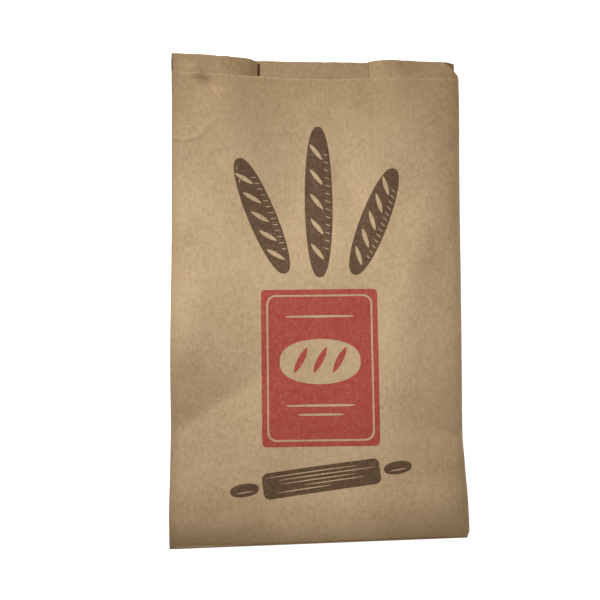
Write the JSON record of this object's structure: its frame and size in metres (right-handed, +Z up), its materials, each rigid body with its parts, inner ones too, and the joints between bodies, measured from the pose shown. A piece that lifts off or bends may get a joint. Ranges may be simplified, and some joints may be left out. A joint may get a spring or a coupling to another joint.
{
  "type": "paper bread bag",
  "caption": "Empty kraft paper bread bag lying flat, with side gussets, an open mouth with a lower front lip, and a folded pinch bottom.",
  "frame": {"origin": "centre of the bag's footprint, on the surface that it lies on", "axes": "+X to the printed front's right, +Y towards the mouth, +Z up, out of the printed front"},
  "size_m": [0.2, 0.328, 0.0093],
  "materials": {
    "kraft_paper": "matte",
    "red_ink": "matte",
    "brown_ink": "matte"
  },
  "bodies": {
    "root": {"paper_bag": "kraft_paper"}
  },
  "joints": []
}
